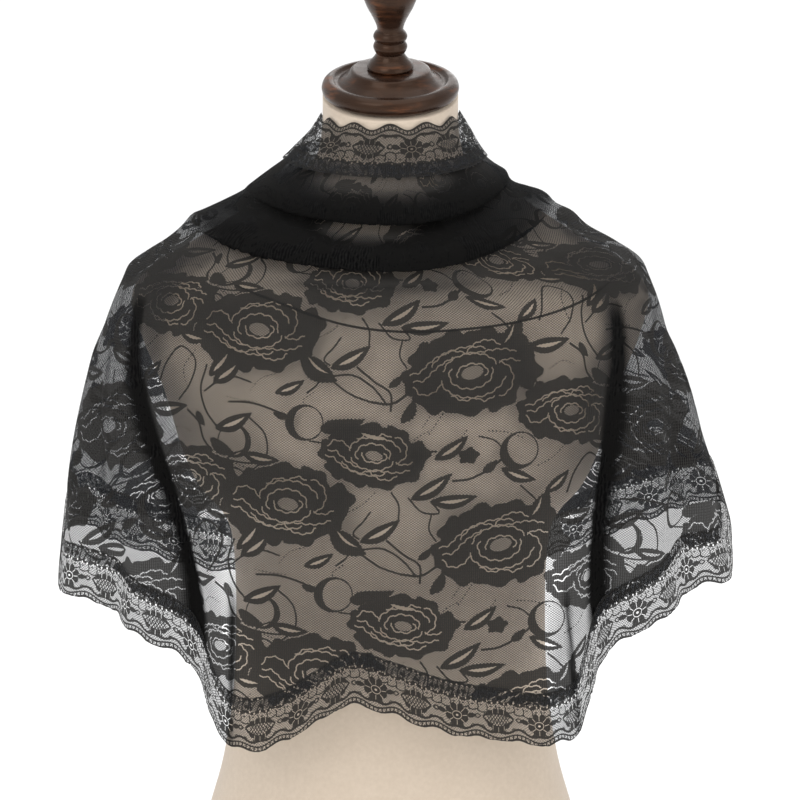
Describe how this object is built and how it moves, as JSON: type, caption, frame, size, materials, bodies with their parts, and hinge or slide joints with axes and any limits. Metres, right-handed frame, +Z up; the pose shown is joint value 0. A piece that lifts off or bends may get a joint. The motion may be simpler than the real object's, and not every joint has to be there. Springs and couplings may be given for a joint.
{
  "type": "lace shawl on dress form",
  "caption": "Black floral lace shawl, a scallop-edged tube draped in cowl folds over the shoulders of a limbless linen dress form with a turned wood neck cap and stand.",
  "frame": {"origin": "centre of the stand's underside, on the surface it stands on", "axes": "+Z up along the pole, the front faces -Y, +X to the wearer's left"},
  "size_m": [0.545, 0.2716, 0.8948],
  "materials": {
    "lace_net": "black warp-knit floral lace on a fine open net",
    "lace_edging": "black scalloped lace edging with medallions",
    "linen": "tightly stretched cream linen",
    "wood": "dark stained turned wood, satin varnish, worn brown on the edges"
  },
  "bodies": {
    "root": {"shawl_front": "lace_net", "shawl_back": "lace_net", "collar_trim_front": "lace_edging", "collar_trim_back": "lace_edging", "hem_trim_front": "lace_edging", "hem_trim_back": "lace_edging", "form_torso": "linen", "neck_cap": "wood", "finial": "wood", "stand": "wood"}
  },
  "joints": []
}
